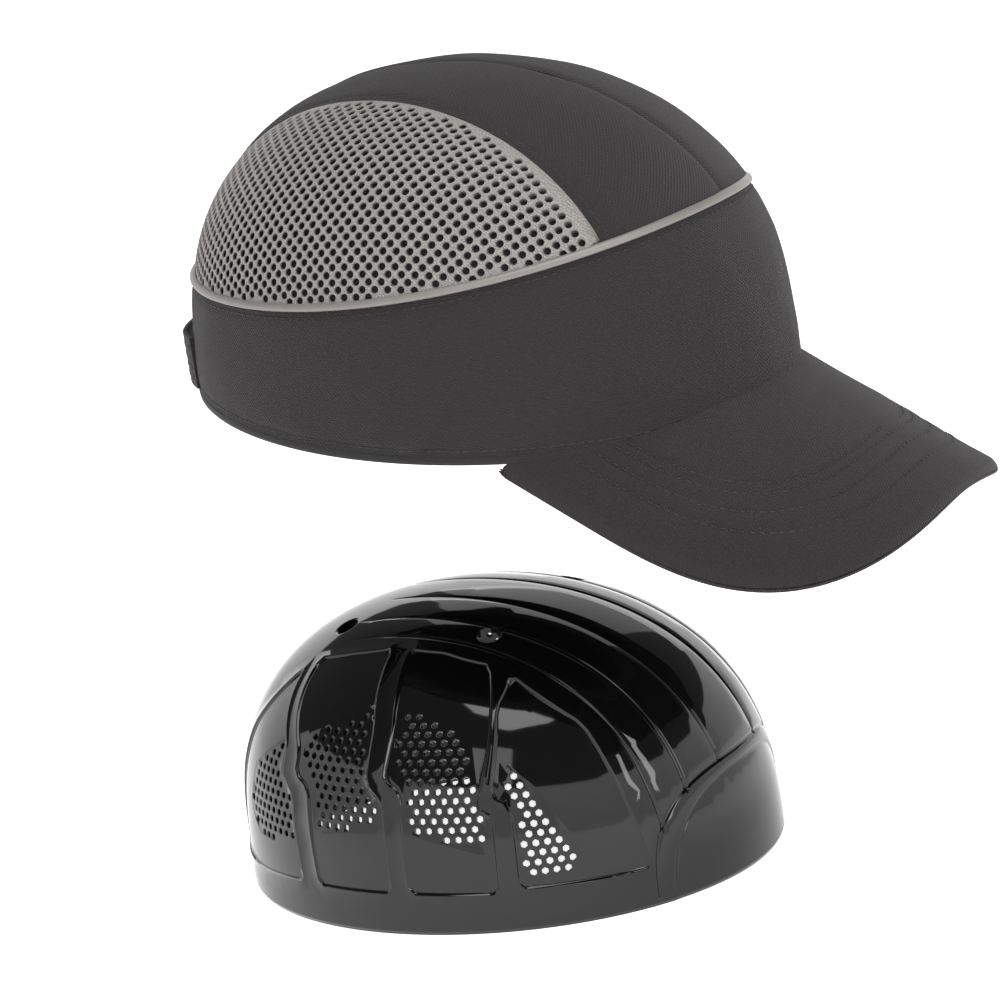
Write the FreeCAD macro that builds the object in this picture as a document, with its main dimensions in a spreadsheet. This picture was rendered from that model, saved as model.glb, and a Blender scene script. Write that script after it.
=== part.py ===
"""Bump cap: a fabric baseball-style cap and the hard shell insert that goes inside it.

The frame stands at the centre of the head opening. X points forward over the brim,
Y to the wearer's left and Z up through the crown. All sizes are in millimetres.
The insert is drawn where it lies when it has been taken out of the cap, straight
below it along its own way out.
"""
import FreeCAD, Part
import math
import os

os.makedirs("parts", exist_ok=True)
doc = FreeCAD.newDocument("BumpCap")
V = FreeCAD.Vector

# ---------------------------------------------------------------- driving dimensions
SIZES = {
    # cap surface: ellipses that shrink towards the top of the crown
    "opening_half_length": 113,
    "opening_half_width": 94,
    "crown_height": 113,
    "crown_power": 2.7,
    "crown_setback": -7.5,
    "crown_setback_power": 2.5,
    "wall_foot": -30,
    # cloth and trim thicknesses
    "fabric": 1.5,
    "sweatband_gauge": 1.8,
    "tape_gauge": 0.6,
    "piping_stand": 1.4,
    "piping_width": 3.2,
    # seam lines in side view, each an arc of a large circle
    "piping_side_height": 46.3,
    "piping_radius": 700,
    "piping_lean": 2.9,
    "edge_side_height": -5.6,
    "edge_radius": 1500,
    "edge_lean": -5.7,
    "binding_height": 3,
    # fabric strip over the crown between the two mesh panels, wider at the front
    "strip_half_width": 37.5,
    "strip_flare": 11.6,
    # sweatband and crown seam tape
    "sweatband_top": 27,
    "tape_width": 12,
    # brim: a flat board bent to a tilted cylinder
    "brim_bend_radius": 111,
    "brim_tilt": 31.4,
    "brim_root_height": -4.8,
    "brim_length": 65,
    "brim_half_width": 86,
    "brim_root_forward": 44,
    "brim_round_forward": 75,
    "brim_corner_power": 2.7,
    "brim_drop": 80,
    "brim_cover": 0.8,
    "brim_board": 2.2,
    # rear arch and closure strap
    "arch_radius": 34,
    "arch_centre_height": 4,
    "arch_binding": 3,
    "strap_bottom": 8,
    "strap_height": 19,
    "strap_gauge": 1.5,
    "pile": 0.9,
    "pile_gap": 0.3,
    "rear_bend_radius": 78.2,
    "tab_end": -14,
    "strap_root": -39.3,
    "strap_end": 24,
    "anchor_inner": -40.6,
    "anchor_outer": -52,
    "patch_margin": 2.5,
    # hard shell insert and its crown pad
    "shell_half_length": 104,
    "shell_half_width": 88,
    "shell_height": 103,
    "shell_power": 3.0,
    "shell_fullness": 2.06,
    "shell_setback": -6,
    "shell_wall": 3,
    "shell_rim": 2,
    "vent_radius": 4.5,
    "vent_forward": 22,
    "vent_back": -43,
    "vent_aside": 32,
    "pad_gauge": 5,
    "pad_half_length": 62,
    "pad_half_width": 20,
    # the insert's way out of the cap
    "insert_travel": 190,
    "insert_slant": 7,
}

sheet = doc.addObject("Spreadsheet::Sheet", "Sizes")
for row, (alias, value) in enumerate(SIZES.items(), start=1):
    sheet.set(f"A{row}", alias.replace("_", " "))
    sheet.set(f"B{row}", str(value))
    sheet.setAlias(f"B{row}", alias)
doc.recompute()


def size(alias):
    """A driving dimension as a number."""
    return float(sheet.get(alias))


def bind(thing, **formulas):
    """Drive an object's properties from the sheet; $name stands for a cell of it."""
    for prop, formula in formulas.items():
        thing.setExpression(prop.replace("__", "."), formula.replace("$", "Sizes."))
    return thing


def add(kind, name, **formulas):
    return bind(doc.addObject(kind, name), **formulas)


def cut(name, base, tool):
    result = doc.addObject("Part::Cut", name)
    result.Base, result.Tool = base, tool
    return result


def common(name, base, tool):
    result = doc.addObject("Part::Common", name)
    result.Base, result.Tool = base, tool
    return result


# ---------------------------------------------------------------- small helpers
def cylinder(name, radius, height, axis, angle, **base):
    """A cylinder turned about an axis through its own foot, placed by the sheet."""
    rod = doc.addObject("Part::Cylinder", name)
    rod.Placement = FreeCAD.Placement(V(0, 0, 0), FreeCAD.Rotation(axis, 90))
    bind(rod, Radius=radius, Height=height, Placement__Rotation__Angle=angle)
    return bind(rod, **{f"Placement__Base__{letter}": place for letter, place in base.items()})


def box(name, x, y, z):
    """A box between two places on each axis, each given as a pair of formulas."""
    block = doc.addObject("Part::Box", name)
    bind(block, Length=f"({x[1]}) - ({x[0]})", Width=f"({y[1]}) - ({y[0]})",
         Height=f"({z[1]}) - ({z[0]})")
    return bind(block, Placement__Base__x=x[0], Placement__Base__y=y[0], Placement__Base__z=z[0])


# ---------------------------------------------------------------- domed surfaces
STEPS = (0, 0.24, 0.44, 0.6, 0.73, 0.83, 0.905, 0.955, 0.985, 0.997)


def dome(name, half_length, half_width, height, power, fullness, setback, base="0", foot=None):
    """A solid dome: a loft through ellipses at set fractions of its height."""
    levels = [(0, foot)] if foot else []
    levels += [(step, f"({base}) + ({height}) * {step}") for step in STEPS]
    rings = []
    for number, (step, level) in enumerate(levels):
        shrink = f"pow(1 - pow({step}; {power}); 1 / {fullness})"
        ring = add("Part::Ellipse", f"{name}_ring{number}")
        bind(ring, MajorRadius=f"({half_length}) * {shrink}",
             MinorRadius=f"({half_width}) * {shrink}",
             Placement__Base__x=f"{setback} * pow({step}; $crown_setback_power)",
             Placement__Base__z=level)
        rings.append(ring)
    body = doc.addObject("Part::Loft", name)
    body.Sections, body.Solid, body.Ruled = rings, True, False
    return body


def cap_dome(name, inset):
    """The cap's outer surface moved inwards by inset."""
    return dome(name, f"$opening_half_length - ({inset})", f"$opening_half_width - ({inset})",
                f"$crown_height - ({inset})", "$crown_power", "2", "$crown_setback",
                foot="$wall_foot")


def shell_dome(name, inset):
    """The hard shell's outer surface moved inwards by inset, standing on its rim."""
    return dome(name, f"$shell_half_length - ({inset})", f"$shell_half_width - ({inset})",
                f"$shell_height - ({inset})", "$shell_power", "$shell_fullness",
                "$shell_setback", base="$shell_rim")


def side_drum(name, radius, height, lean):
    """A large cylinder lying across the cap: inside it is above an arc seen from the side."""
    return cylinder(name, radius, "4 * $opening_half_width", V(1, 0, 0), "90",
                    x=f"-({radius}) * sin(({lean}) * 1 deg)", y="2 * $opening_half_width",
                    z=f"({height}) + ({radius}) * cos(({lean}) * 1 deg)")


cap_outer = cap_dome("cap_outer", "0")
cap_lining = cap_dome("cap_lining", "$fabric")
cap_taped = cap_dome("cap_taped", "$fabric + $tape_gauge")
cap_padded = cap_dome("cap_padded", "$fabric + $sweatband_gauge")
cap_proud = cap_dome("cap_proud", "-$piping_stand")

piping_line = ("$piping_radius", "$piping_side_height", "$piping_lean")
edge_line = ("$edge_radius", "$edge_side_height", "$edge_lean")
above_piping = side_drum("above_piping", *piping_line)
above_edge = side_drum("above_edge", *edge_line)

skin = cut("skin", cap_outer, cap_lining)
crown_skin = common("crown_skin", skin, above_piping)
wall_skin = cut("wall_skin", common("wall_above_edge", skin, above_edge), above_piping)

REACH = "3 * $opening_half_length"
half_space = {
    "left": box("left_half", (f"-{REACH}", REACH), ("0", REACH), (f"-{REACH}", REACH)),
    "right": box("right_half", (f"-{REACH}", REACH), (f"-{REACH}", "0"), (f"-{REACH}", REACH)),
}


# ---------------------------------------------------------------- crown
def mesh_zone(side, sign):
    """Everything outboard of one upright seam plane that spreads towards the front."""
    turn = FreeCAD.Rotation(V(0, 0, sign), 10)
    zone = doc.addObject("Part::Box", f"mesh_zone_{side}")
    zone.Placement = FreeCAD.Placement(V(0, 0, 0), turn)
    inner = "0" if sign > 0 else REACH
    bind(zone, Length=f"2 * {REACH}", Width=REACH, Height=f"2 * {REACH}",
         Placement__Rotation__Angle="$strip_flare",
         Placement__Base__z=f"-{REACH}",
         Placement__Base__x=f"-{REACH} * cos($strip_flare * 1 deg)"
                            f" - ({inner}) * sin($strip_flare * 1 deg)",
         Placement__Base__y=f"{sign} * ($strip_half_width - {REACH} * sin($strip_flare * 1 deg)"
                            f" + ({inner}) * cos($strip_flare * 1 deg))")
    return zone


nodes = {}
for side, sign in (("left", 1), ("right", -1)):
    zone = mesh_zone(side, sign)
    half = common(f"crown_half_{side}", crown_skin, half_space[side])
    nodes[f"crown_panel_{side}"] = cut(f"crown_panel_{side}", half, zone)
    nodes[f"mesh_panel_{side}"] = common(f"mesh_panel_{side}", crown_skin, zone)

tape_zone = box("tape_zone", (f"-{REACH}", REACH), ("-$tape_width / 2", "$tape_width / 2"),
                ("0", REACH))
tape_layer = common("tape_layer", cut("under_lining", cap_lining, cap_taped), above_piping)
nodes["crown_seam_tape"] = common("crown_seam_tape", tape_layer, tape_zone)


# ---------------------------------------------------------------- piping, band and its lining
def ribbon(name, layer, radius, height, lean, low, high):
    """The part of a layer between two side-view arcs, low and high of a seam line."""
    lower = side_drum(f"{name}_low", radius, f"{height} + ({low})", lean)
    upper = side_drum(f"{name}_high", radius, f"{height} + ({high})", lean)
    return cut(name, common(f"{name}_above", layer, lower), upper)


nodes["reflective_piping"] = ribbon("reflective_piping", cut("piping_layer", cap_proud, cap_outer),
                                    *piping_line, "-$piping_width / 2", "$piping_width / 2")


def arch_drum(name, radius):
    """A cylinder that points backwards through the rear of the band."""
    return cylinder(name, radius, REACH, V(0, 1, 0), "-90", z="$arch_centre_height")


arch_gap = arch_drum("arch_gap", "$arch_radius")
arch_bound = arch_drum("arch_bound", "$arch_radius + $arch_binding")
nodes["side_band"] = cut("side_band", wall_skin, arch_bound)
arch_cover = common("arch_cover", wall_skin, arch_bound)
nodes["arch_binding"] = cut("arch_binding", arch_cover, arch_gap)

sweat_layer = cut("sweat_layer", cap_lining, cap_padded)
sweat_zone = box("sweat_zone", (f"-{REACH}", REACH), (f"-{REACH}", REACH),
                 ("$wall_foot", "$sweatband_top"))
sweat_ring = common("sweat_ring", common("sweat_above", sweat_layer, above_edge), sweat_zone)
nodes["sweatband"] = cut("sweatband", sweat_ring, arch_bound)

edge_ring = ribbon("edge_ring", cut("edge_layer", cap_outer, cap_padded),
                   *edge_line, "-$binding_height", "0")
nodes["edge_binding"] = cut("edge_binding", edge_ring, arch_bound)


# ---------------------------------------------------------------- brim
def brim_drum(name, depth):
    """The bent face of the brim, moved down by depth: a cylinder tilted to the front."""
    back = "$opening_half_length"
    radius = f"($brim_bend_radius - ({depth}))"
    return cylinder(name, radius, f"4 * {back}", V(0, 1, 0), "90 + $brim_tilt",
                    x=f"{back} - $brim_bend_radius * sin($brim_tilt * 1 deg)"
                      f" - {back} * cos($brim_tilt * 1 deg)",
                    z="$brim_root_height - $brim_bend_radius * cos($brim_tilt * 1 deg)"
                      f" + {back} * sin($brim_tilt * 1 deg)")


def brim_plan():
    """The brim's outline from above, straight at the sides and a superellipse in front."""
    centre = size("brim_round_forward")
    length = size("opening_half_length") + size("brim_length") - centre
    width = size("brim_half_width")
    power = 2 / size("brim_corner_power")
    root = size("brim_root_forward")
    low = -size("brim_drop")
    arc = []
    for step in range(17):
        turn = math.pi * (step / 16 - 0.5)
        side = math.copysign(abs(math.sin(turn)) ** power, turn)
        arc.append(V(centre + length * math.cos(turn) ** power, width * side, low))
    curve = Part.BSplineCurve()
    curve.interpolate(Points=arc, InitialTangent=V(1, 0, 0), FinalTangent=V(-1, 0, 0))
    corners = [arc[-1], V(root, width, low), V(root, -width, low), arc[0]]
    edges = [curve.toShape()] + [Part.makeLine(a, b) for a, b in zip(corners, corners[1:])]
    prism = doc.addObject("Part::Feature", "brim_prism")
    prism.Shape = Part.Face(Part.Wire(edges)).extrude(V(0, 0, 2 * size("brim_drop")))
    return prism


brim_prism = brim_plan()
layers = ("brim_cover_top", "brim_board", "brim_cover_under")
depths = ("0", "$brim_cover", "$brim_cover + $brim_board", "2 * $brim_cover + $brim_board")
drums = [brim_drum(f"brim_depth{number}", depth) for number, depth in enumerate(depths)]
for name, outer, inner in zip(layers, drums, drums[1:]):
    sheet_form = common(f"{name}_sheet", brim_prism, cut(f"{name}_bend", outer, inner))
    nodes[name] = cut(name, sheet_form, cap_outer)


# ---------------------------------------------------------------- closure strap
def rear_drum(name, stand):
    """An upright cylinder that follows the bend of the band at the back."""
    return cylinder(name, f"$rear_bend_radius + ({stand})", REACH, V(0, 0, 1), "0",
                    x="$rear_bend_radius - $opening_half_length", z="$wall_foot")


def rear_piece(name, outer, inner, y, margin="0"):
    """What lies between two surfaces at the back, from one side place to another."""
    zone = box(f"{name}_zone", (f"-{REACH}", "-$opening_half_length / 2"), y,
               (f"$strap_bottom + {margin}", f"$strap_bottom + $strap_height - {margin}"))
    return common(name, cut(f"{name}_layer", outer, inner), zone)


loop_face = rear_drum("loop_face", "$pile")
hook_face = rear_drum("hook_face", "$pile + $pile_gap")
strap_inside = rear_drum("strap_inside", "2 * $pile + $pile_gap")
strap_outside = rear_drum("strap_outside", "2 * $pile + $pile_gap + $strap_gauge")

tab = rear_piece("tab_blank", cap_outer, cap_lining, ("$tab_end", "$arch_radius"))
nodes["strap_tab"] = common("strap_tab", tab, arch_gap)
nodes["loop_patch"] = rear_piece("loop_patch", loop_face, cap_outer,
                                 ("$tab_end + $patch_margin", "$arch_radius / 2"),
                                 "$patch_margin")
nodes["strap_anchor"] = rear_piece("strap_anchor", strap_outside, cap_outer,
                                   ("$anchor_outer", "$anchor_inner"))
nodes["closure_strap"] = rear_piece("closure_strap", strap_outside, strap_inside,
                                    ("$strap_root", "$strap_end"))
nodes["hook_patch"] = rear_piece("hook_patch", strap_inside, hook_face,
                                 ("$tab_end + 2 * $patch_margin", "$strap_end - $patch_margin"),
                                 "$patch_margin")


# ---------------------------------------------------------------- hard shell and crown pad
shell_outer = shell_dome("shell_outer", "0")
shell_inner = shell_dome("shell_inner", "$shell_wall")
pad_inner = shell_dome("pad_inner", "$shell_wall + $pad_gauge")

shell = cut("shell_blank", shell_outer, shell_inner)
for along in ("forward", "back"):
    for side in (1, -1):
        vent = cylinder(f"vent_{along}{side + 1}", "$vent_radius", "2 * $shell_height",
                        V(0, 0, 1), "0", x=f"$vent_{along}", y=f"{side} * $vent_aside")
        shell = cut(f"shell_{along}{side + 1}", shell, vent)
nodes["hard_shell"] = shell

pad_zone = box("pad_zone", ("$shell_setback - $pad_half_length", "$pad_half_length"),
               ("-$pad_half_width", "$pad_half_width"), ("0", REACH))
nodes["crown_pad"] = common("crown_pad", cut("pad_layer", shell_inner, pad_inner), pad_zone)

for name in ("hard_shell", "crown_pad"):
    bind(nodes[name], Placement__Base__x="-$insert_travel * sin($insert_slant * 1 deg)",
         Placement__Base__z="-$insert_travel * cos($insert_slant * 1 deg)")


# ---------------------------------------------------------------- check and write
for name, node in nodes.items():
    node.Label = name
doc.recompute()

for thing in doc.Objects:
    if "Invalid" in thing.State or "Error" in thing.State:
        raise RuntimeError(f"{thing.Name} failed: {thing.State}")
for name, node in nodes.items():
    if node.Shape.isNull() or not node.Shape.isValid() or not node.Shape.Solids:
        raise RuntimeError(f"{name} is not a valid solid")
for name, node in nodes.items():
    node.Shape.exportStep(f"parts/{name}.step")
    solids, volume, extent = node.Shape.Solids, node.Shape.Volume, node.Shape.optimalBoundingBox()
    print(f"{name:18s} solids {len(solids)}  volume {volume / 1000:7.2f} cm3"
          f"  x {extent.XMin:7.1f} {extent.XMax:7.1f}  y {extent.YMin:7.1f} {extent.YMax:7.1f}"
          f"  z {extent.ZMin:7.1f} {extent.ZMax:7.1f}")
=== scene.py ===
"""Fabric bump cap and its hard shell insert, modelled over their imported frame."""

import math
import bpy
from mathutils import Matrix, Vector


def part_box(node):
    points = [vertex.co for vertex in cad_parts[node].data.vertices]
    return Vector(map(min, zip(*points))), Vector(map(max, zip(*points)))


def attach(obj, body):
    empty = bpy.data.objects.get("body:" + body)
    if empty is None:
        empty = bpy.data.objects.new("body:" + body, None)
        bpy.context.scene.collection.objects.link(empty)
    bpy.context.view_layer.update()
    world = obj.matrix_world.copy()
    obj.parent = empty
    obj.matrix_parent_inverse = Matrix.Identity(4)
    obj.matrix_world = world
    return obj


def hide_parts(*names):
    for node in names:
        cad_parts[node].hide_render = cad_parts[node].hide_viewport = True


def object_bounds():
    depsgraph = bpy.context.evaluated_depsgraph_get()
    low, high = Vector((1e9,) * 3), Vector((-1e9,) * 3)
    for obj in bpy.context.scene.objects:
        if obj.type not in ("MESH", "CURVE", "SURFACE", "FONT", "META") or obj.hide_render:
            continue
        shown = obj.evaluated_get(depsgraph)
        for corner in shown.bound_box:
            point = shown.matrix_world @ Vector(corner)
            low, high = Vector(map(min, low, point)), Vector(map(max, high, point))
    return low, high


bl_info = {
    "name": "Bump cap",
    "version": (1, 0, 0),
    "blender": (4, 5, 0),
    "location": "View3D > Sidebar > Bump cap",
    "description": "Models a fabric bump cap and its hard shell insert over the packed frame",
    "category": "Add Mesh",
}

import bpy
import numpy as np
from bpy.props import FloatProperty, FloatVectorProperty, PointerProperty
from mathutils import Matrix, Vector, kdtree, noise
from mathutils.geometry import delaunay_2d_cdt

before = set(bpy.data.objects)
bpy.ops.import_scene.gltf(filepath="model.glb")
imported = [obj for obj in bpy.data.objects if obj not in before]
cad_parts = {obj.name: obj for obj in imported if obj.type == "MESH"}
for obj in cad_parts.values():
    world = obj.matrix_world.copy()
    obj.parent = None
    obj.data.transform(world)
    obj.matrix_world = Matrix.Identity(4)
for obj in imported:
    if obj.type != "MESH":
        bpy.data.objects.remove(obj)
CAD_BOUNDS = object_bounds()

MM = 0.001
PI = math.pi


def linear(code):
    """A colour's linear red, green, blue and alpha from its sRGB hex code."""
    levels = [int(code[i:i + 2], 16) / 255 for i in (0, 2, 4)]
    return [c / 12.92 if c < 0.04045 else ((c + 0.055) / 1.055) ** 2.4 for c in levels] + [1.0]


# ---------------------------------------------------------------- what a user would change
def colour(name, description, code):
    return FloatVectorProperty(name=name, description=description, subtype="COLOR", size=4,
                               min=0, max=1, default=linear(code))


def length(name, description, size):
    return FloatProperty(name=name, description=description, subtype="DISTANCE", unit="LENGTH",
                         min=0, default=size * MM)


class CapColours(bpy.types.PropertyGroup):
    """Colours of the cap's cloth and trim, and of the insert."""
    cloth: colour("Cloth", "Dyed cotton and polyester twill of the crown, band and brim", "2d2a2b")
    yarn: colour("Air mesh yarn", "Knitted polyester of the side panels", "a39e9a")
    lining: colour("Mesh lining", "Thin knit behind the air mesh", "1b1a1b")
    piping: colour("Reflective piping", "Glass bead tape rolled over a cord", "7f7b77")
    trim: colour("Binding and tape", "Folded cotton tape on the edges and seams", "1c1b1c")
    towel: colour("Sweatband", "Cotton terry towelling", "222122")
    thread: colour("Thread", "Polyester sewing thread", "121112")
    shell: colour("Hard shell", "Injection moulded ABS", "070708")
    foam: colour("Crown pad", "Closed-cell EVA foam", "2b2b2d")


class CapSizes(bpy.types.PropertyGroup):
    """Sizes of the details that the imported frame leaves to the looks."""
    mesh_pitch: length("Mesh pitch", "Distance between air mesh holes along a row", 5.2)
    mesh_row: length("Mesh rows", "Distance between rows of air mesh holes", 2.8)
    vent_pitch: length("Perforation pitch", "Distance between the shell's side holes", 4.1)
    vent_width: length("Perforation width", "Width of one side hole in the shell", 2.7)
    stitch: length("Stitch", "Length of one stitch", 2.5)
    stitch_gap: length("Stitch gap", "Distance between two stitches of a row", 0.8)


def colours():
    return bpy.context.scene.cap_colours


def sizes():
    return bpy.context.scene.cap_sizes


# ---------------------------------------------------------------- surfaces, in millimetres
CROWN_HEIGHT, HALF_LENGTH, HALF_WIDTH = 113.0, 113.0, 94.0
OVAL_POWER = 2.7
# points that a cloth's outer face looks away from
INSIDE = np.array([0.0, 0.0, 20.0])
BELOW_BRIM, ABOVE_BRIM = np.array([60.0, 0.0, -160.0]), np.array([60.0, 0.0, 640.0])


def run_along(line):
    """The distance covered at each point of a line."""
    return np.concatenate([[0], np.cumsum(np.linalg.norm(np.diff(line, axis=0), axis=1))])


def squared(wave, power):
    """A sine or cosine made fuller or squarer, for ovals and folded edges."""
    return np.sign(wave) * np.abs(wave) ** power


def cap_section(z, stand):
    """Centre, half-length and half-width of the cap's oval at a height."""
    rise = np.clip(z / (CROWN_HEIGHT + stand), 0, 1)
    full = np.sqrt(1 - rise ** OVAL_POWER)
    return -7.5 * rise ** 2.5, (HALF_LENGTH + stand) * full, (HALF_WIDTH + stand) * full


def cap_at(turn, z, stand=0.0):
    """A point of the cap at an angle from the front and a height, stand proud of the cloth."""
    centre, half_length, half_width = cap_section(z, stand)
    return np.stack([centre + half_length * np.cos(turn), half_width * np.sin(turn),
                     z + 0 * turn], axis=-1)


def piping_height(x):
    """The side-view arc of the piping."""
    return 46.3 + math.tan(math.radians(2.9)) * x + x ** 2 / 1400


def edge_height(x):
    """The side-view arc of the lower edge."""
    return -5.6 - math.tan(math.radians(5.7)) * x + x ** 2 / 3000


def seam_aside(x):
    """Distance from the middle to the seam between crown strip and mesh panel."""
    return 37.5 + math.tan(math.radians(11.6)) * x


def reach(route, stand):
    """Where a route that starts inside the cap comes through its surface."""
    stand = np.asarray(stand, float)
    near, far = 0.0 + 0 * route(1.0)[2], 260.0 + 0 * route(1.0)[2]
    for _ in range(36):
        middle = (near + far) / 2
        x, y, z = route(middle)
        centre, half_length, half_width = cap_section(z, stand)
        out = (z >= CROWN_HEIGHT + stand) | (
            ((x - centre) / np.maximum(half_length, 1e-3)) ** 2
            + (y / np.maximum(half_width, 1e-3)) ** 2 > 1)
        near, far = np.where(out, near, middle), np.where(out, middle, far)
    return np.stack([a + 0 * near for a in route(near)], axis=-1)


def crown_at(turn, across, stand=0.0):
    """On the strip over the crown: turn 0 is the front piping, pi the rear, across -1 to 1."""
    def route(r):
        x = -5 + r * np.cos(turn)
        return x, across * seam_aside(x), piping_height(x) + r * np.sin(turn)
    return reach(route, stand)


def side_at(x, rise, stand=0.0):
    """On the left mesh panel: rise goes from 0 at the piping to 1 at the crown seam."""
    lean = (1 - rise) * PI / 2

    def route(r):
        return x, seam_aside(x) + r * np.sin(lean), piping_height(x) + r * np.cos(lean)
    return reach(route, stand)


def band_at(turn, rise, stand=0.0):
    """On the side band: rise goes from 0 at the lower edge to 1 at the piping."""
    low, high = band_limits(turn)
    return cap_at(turn, low + (high - low) * rise, stand)


def band_limits(turn):
    """Heights of the band's lower edge and of the piping at an angle from the front."""
    foot = HALF_LENGTH * np.cos(turn)
    return edge_height(foot), piping_height(-1 + 0.943 * foot)


BRIM_TILT = math.radians(31.4)
BRIM_BEND = 111.0
BRIM_LEFT = 0.965
BRIM_NORMAL = (math.sin(BRIM_TILT), math.cos(BRIM_TILT))
BRIM_AXIS = (113 - BRIM_BEND * BRIM_NORMAL[0], -4.8 - BRIM_BEND * BRIM_NORMAL[1])


def brim_at(x, y, depth=0.0):
    """The brim over a plan position, depth below its upper face."""
    radius = BRIM_BEND - depth
    up = np.sqrt(radius ** 2 - y ** 2)
    out = (x - BRIM_AXIS[0] - up * BRIM_NORMAL[0]) / math.cos(BRIM_TILT)
    z = BRIM_AXIS[1] - out * math.sin(BRIM_TILT) + up * BRIM_NORMAL[1]
    return np.stack([x + 0 * y, y + 0 * x, z], axis=-1)


def brim_outline(share, front_inset=0.0, side_inset=0.0, root=44.6):
    """A plan line round the brim from its right root to its left one, share 0 to 1. The left
    side is bent in a little more, as a worn brim is."""
    a, b = 103.0 - front_inset, 86.0 - side_inset
    turn = np.linspace(-PI / 2, PI / 2, 241)
    x = 75 + a * squared(np.cos(turn), 2 / OVAL_POWER)
    y = b * squared(np.sin(turn), 2 / OVAL_POWER)
    x = np.concatenate([[root], x, [root]])
    y = np.concatenate([[-b], y, [b]])
    y = np.where(y > 0, y * BRIM_LEFT, y)
    run = run_along(np.stack([x, y], axis=1))
    return np.interp(share * run[-1], run, x), np.interp(share * run[-1], run, y)


SHELL_LENGTH, SHELL_WIDTH, SHELL_HEIGHT = 104.0, 88.0, 103.0
SHELL_MEAN, SHELL_POWER = 96.0, 2.06
shell_low, shell_high = (np.array(corner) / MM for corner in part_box("hard_shell"))
SHELL_PLACE = np.array([(shell_low[0] + shell_high[0]) / 2, 0, shell_low[2]])
MERIDIAN_TURN = np.linspace(0, PI / 2, 700)
MERIDIAN_RISE = np.cos(MERIDIAN_TURN) ** (2 / 3)
MERIDIAN_SHRINK = np.sin(MERIDIAN_TURN) ** (2 / SHELL_POWER)


def meridian(half_width):
    """The run from the crown down the shell to each height, where it is half_width wide."""
    return run_along(np.stack([half_width * MERIDIAN_SHRINK, SHELL_HEIGHT * MERIDIAN_RISE], axis=1))


def shell_shrink(rise):
    """How much narrower the shell is at a share of its height than at its rim."""
    return (1 - rise ** 3) ** (1 / SHELL_POWER)


def shell_lean(rise):
    """How far back the shell's middle has moved at a share of its height."""
    return 6 * rise ** 2.5


LENGTH_RUN, WIDTH_RUN = meridian(SHELL_LENGTH)[-1], meridian(SHELL_WIDTH)[-1]
MEAN_RUN = meridian(SHELL_MEAN)[-1]
SHELL_RUN = meridian(SHELL_MEAN) / MEAN_RUN


def shell_at(pattern, stand=0.0):
    """Bends the shell's flat pattern, whose middle is the crown, to the moulded surface."""
    a, b = pattern[:, 0] / LENGTH_RUN, pattern[:, 1] / WIDTH_RUN
    radius = np.hypot(a, b)
    turn = np.arctan2(b, a)
    rise = np.interp(radius, SHELL_RUN, MERIDIAN_RISE)
    shrink = np.interp(radius, SHELL_RUN, MERIDIAN_SHRINK)
    return np.stack([-shell_lean(rise) + (SHELL_LENGTH + stand) * shrink * np.cos(turn),
                     (SHELL_WIDTH + stand) * shrink * np.sin(turn),
                     (SHELL_HEIGHT + stand) * rise], axis=-1) + SHELL_PLACE


def shell_pattern(degrees, rise):
    """The place on the shell's pattern of an angle round the shell and a share of its height."""
    radius = np.interp(-np.asarray(rise, float), -MERIDIAN_RISE, SHELL_RUN)
    turn = np.radians(degrees)
    return np.stack([LENGTH_RUN * radius * np.cos(turn), WIDTH_RUN * radius * np.sin(turn)],
                    axis=-1)


def shell_under(x, y, inset):
    """The height on the shell's inside over a plan position, inset from its outside."""
    low, high = 0 * (x + y), 0 * (x + y) + 1
    for _ in range(40):
        rise = (low + high) / 2
        inside = (((x + shell_lean(rise)) / (SHELL_LENGTH - inset)) ** 2
                  + (y / (SHELL_WIDTH - inset)) ** 2) < shell_shrink(rise) ** 2
        low, high = np.where(inside, rise, low), np.where(inside, high, rise)
    return (SHELL_HEIGHT - inset) * low


# ---------------------------------------------------------------- lines on a flat pattern
def refine(line, step, closed=False):
    """The same line with a point at least every step."""
    line = [np.asarray(p, float) for p in line]
    ends = line[1:] + line[:1] if closed else line[1:]
    fine = []
    for start, end in zip(line, ends):
        count = max(1, math.ceil(np.linalg.norm(end - start) / step))
        fine += [start + (end - start) * i / count for i in range(count)]
    return np.array(fine if closed else fine + [line[-1]])


def soften(loop):
    """The closed line with its corners cut once, as a moulded edge has them."""
    ends = np.roll(loop, -1, axis=0)
    cut = np.stack([0.75 * loop + 0.25 * ends, 0.25 * loop + 0.75 * ends], 1)
    return cut.reshape(-1, 2)


def beside(line, gap, closed=False):
    """The line moved sideways by gap, to its left."""
    if closed:
        ahead, behind = np.roll(line, -1, axis=0), np.roll(line, 1, axis=0)
    else:
        ahead = np.concatenate([line[1:], line[-1:]])
        behind = np.concatenate([line[:1], line[:-1]])
    along = ahead - behind
    along /= np.maximum(np.linalg.norm(along, axis=1, keepdims=True), 1e-9)
    return line + gap * np.stack([-along[:, 1], along[:, 0]], axis=1)


def distance(points, line, closed=False):
    """Each point's distance to a line."""
    starts = line if closed else line[:-1]
    run = (np.roll(line, -1, axis=0) if closed else line[1:]) - starts
    square = np.maximum((run ** 2).sum(1), 1e-12)
    nearest = []
    for some in np.array_split(points, max(1, len(points) // 3000)):
        off = some[:, None] - starts[None]
        share = np.clip((off * run).sum(2) / square, 0, 1)
        nearest.append(np.linalg.norm(off - share[..., None] * run, axis=2).min(1))
    return np.concatenate(nearest)


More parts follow.
